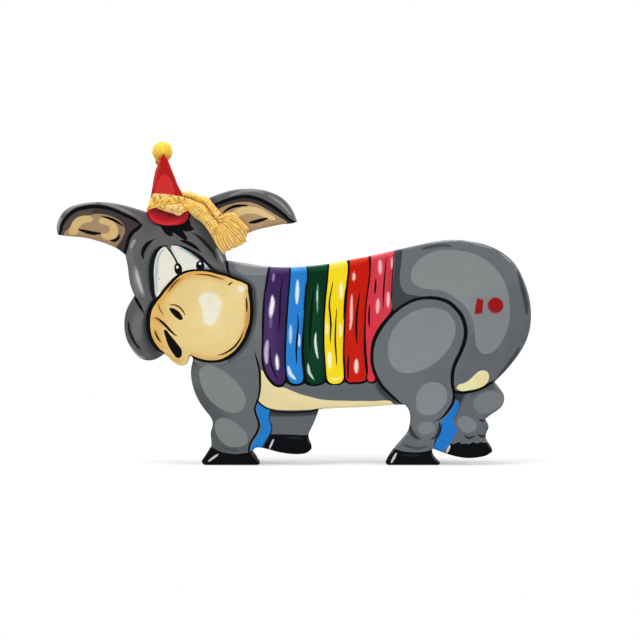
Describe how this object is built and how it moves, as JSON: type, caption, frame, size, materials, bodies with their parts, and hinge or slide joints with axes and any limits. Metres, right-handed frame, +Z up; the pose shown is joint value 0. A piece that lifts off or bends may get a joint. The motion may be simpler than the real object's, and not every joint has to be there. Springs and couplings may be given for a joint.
{
  "type": "flat-profile pinata",
  "caption": "Flat-profile donkey pinata: painted front board on a shallow cardboard box with a sweets hatch, cord eyelet, card party hat and paper scarf.",
  "frame": {"origin": "on the floor, below the middle of the whole object's box", "axes": "+X towards the tail, +Y towards the back panel (the painted face looks along -Y), +Z up"},
  "size_m": [0.5938, 0.095, 0.4044],
  "materials": {
    "painted_board": "hand-painted gloss enamel",
    "painted_hat": "hand-painted gloss enamel",
    "painted_rim": "semi-gloss enamel",
    "kraft_board": "bare kraft liner",
    "corrugated": "bare corrugated block",
    "dowel_wood": "sanded beech",
    "eyelet_brass": "polished",
    "gummed_tape": "matte",
    "twisted_paper": "matte crepe",
    "pompom_paper": "crumpled tissue",
    "sticker_red": "satin"
  },
  "bodies": {
    "shell": {"front_panel": "painted_board", "hat_panel": "painted_hat", "back_panel": "kraft_board", "hatch_frame": "kraft_board", "hinge_tape_panel": "gummed_tape", "rim_head_top": "painted_rim", "rim_saddle": "painted_rim", "rim_rump": "painted_rim", "rim_hind_leg_rear": "painted_rim", "rim_hind_soles": "painted_rim", "rim_hind_leg_front": "painted_rim", "rim_belly": "painted_rim", "rim_front_leg_rear": "painted_rim", "rim_front_soles": "painted_rim", "rim_front_leg_front": "painted_rim", "rim_jaw": "painted_rim", "rim_face": "painted_rim", "hanging_eyelet": "eyelet_brass", "eyelet_washer": "eyelet_brass", "hanger_dowel": "dowel_wood", "dowel_seat_front": "corrugated", "dowel_seat_back": "corrugated", "spacer_head": "corrugated", "spacer_front_leg": "corrugated", "spacer_hind_leg": "corrugated", "spacer_rump": "corrugated", "target_dot": "sticker_red", "target_bar": "sticker_red", "pompom": "pompom_paper", "scarf_band": "twisted_paper", "scarf_end_upper": "twisted_paper", "scarf_end_lower": "twisted_paper"},
    "hatch": {"hatch_door": "kraft_board", "hinge_tape_door": "gummed_tape", "hatch_tab": "gummed_tape"}
  },
  "joints": [
    {"name": "hatch_hinge", "type": "hinge", "parent": "shell", "child": "hatch", "pos_m": [0.055, 0.0462, 0.1973], "axis": [1, 0, 0], "range_deg": [0, 150]}
  ]
}
